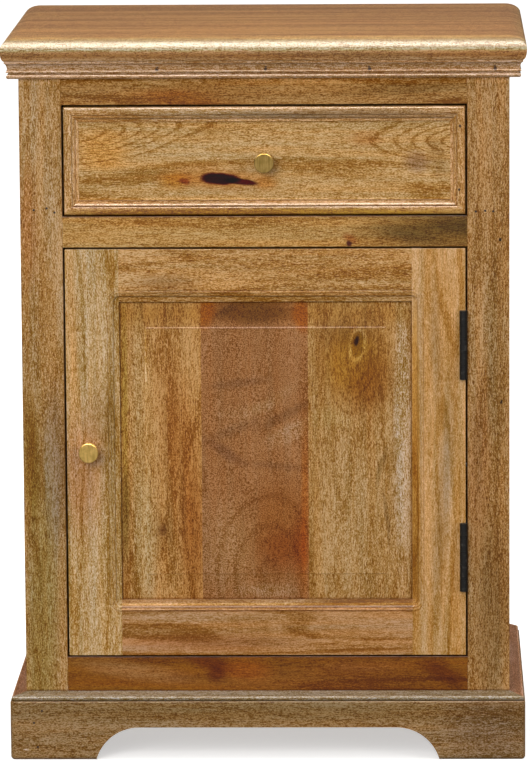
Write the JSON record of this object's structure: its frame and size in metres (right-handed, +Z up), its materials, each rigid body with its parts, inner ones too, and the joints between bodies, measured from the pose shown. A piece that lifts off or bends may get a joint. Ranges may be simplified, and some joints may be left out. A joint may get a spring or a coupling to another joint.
{
  "type": "storage side table",
  "caption": "Wooden side table with a moulded top, a drawer over a hinged raised-panel door, and a plinth with bracket feet.",
  "frame": {"origin": "on the floor, under the middle of the top board", "axes": "+X to the right of someone facing the door, +Y to the back, +Z up"},
  "size_m": [0.58, 0.42, 0.81],
  "materials": {
    "carcass_timber": "brushed, waxed",
    "catch_body": "matt",
    "cornice_timber": "brushed, waxed",
    "door_frame_timber": "brushed, waxed",
    "door_panel_timber": "brushed, waxed",
    "drawer_front_timber": "brushed, waxed",
    "fastener_steel": "dull",
    "hinge_black_iron": "black, satin",
    "inner_timber": "sanded, unfinished",
    "knob_brass": "aged satin",
    "plinth_timber": "brushed, waxed",
    "thin_board": "plain",
    "top_timber": "brushed, waxed"
  },
  "bodies": {
    "carcass": {"back_panel": "thin_board", "catch_magnet": "catch_body", "cornice_front": "cornice_timber", "cornice_left": "cornice_timber", "cornice_right": "cornice_timber", "drawer_kicker_left": "inner_timber", "drawer_kicker_right": "inner_timber", "drawer_runner_left": "inner_timber", "drawer_runner_right": "inner_timber", "finish_nails": "fastener_steel", "floor_board": "inner_timber", "frame_wood_screws": "fastener_steel", "hinge_frame_leaves": "hinge_black_iron", "hinge_pins": "hinge_black_iron", "plinth_cap_front": "plinth_timber", "plinth_cap_left": "plinth_timber", "plinth_cap_right": "plinth_timber", "plinth_front": "plinth_timber", "plinth_left": "plinth_timber", "plinth_right": "plinth_timber", "post_back_left": "carcass_timber", "post_back_right": "carcass_timber", "post_front_left": "carcass_timber", "post_front_right": "carcass_timber", "rail_front_bottom": "carcass_timber", "rail_front_middle": "carcass_timber", "rail_front_top": "carcass_timber", "shelf": "inner_timber", "shelf_pins": "fastener_steel", "side_panel_left": "carcass_timber", "side_panel_right": "carcass_timber", "side_rail_bottom_left": "carcass_timber", "side_rail_bottom_right": "carcass_timber", "side_rail_top_left": "carcass_timber", "side_rail_top_right": "carcass_timber", "top_board": "top_timber", "top_fixing_screws": "fastener_steel"},
    "door": {"door_knob": "knob_brass", "door_knob_screw": "fastener_steel", "door_panel_board_left": "door_panel_timber", "door_panel_board_middle": "door_panel_timber", "door_panel_board_right": "door_panel_timber", "door_rail_bottom": "door_frame_timber", "door_rail_top": "door_frame_timber", "door_stile_left": "door_frame_timber", "door_stile_right": "door_frame_timber", "door_wood_screws": "fastener_steel", "hinge_door_leaves": "hinge_black_iron", "catch_strike": "fastener_steel"},
    "drawer": {"drawer_back": "inner_timber", "drawer_bottom": "thin_board", "drawer_front": "drawer_front_timber", "drawer_knob": "knob_brass", "drawer_knob_screw": "fastener_steel", "drawer_moulding_bottom": "drawer_front_timber", "drawer_moulding_left": "drawer_front_timber", "drawer_moulding_right": "drawer_front_timber", "drawer_moulding_top": "drawer_front_timber", "drawer_side_left": "inner_timber", "drawer_side_right": "inner_timber"}
  },
  "joints": [
    {"name": "door_hinge", "type": "hinge", "parent": "carcass", "child": "door", "pos_m": [0.21975, -0.19555, 0.347], "axis": [0, 0, 1], "range_deg": [0, 175]},
    {"name": "drawer_slide", "type": "slide", "parent": "carcass", "child": "drawer", "axis": [0, -1, 0], "range_m": [0, 0.27]}
  ]
}
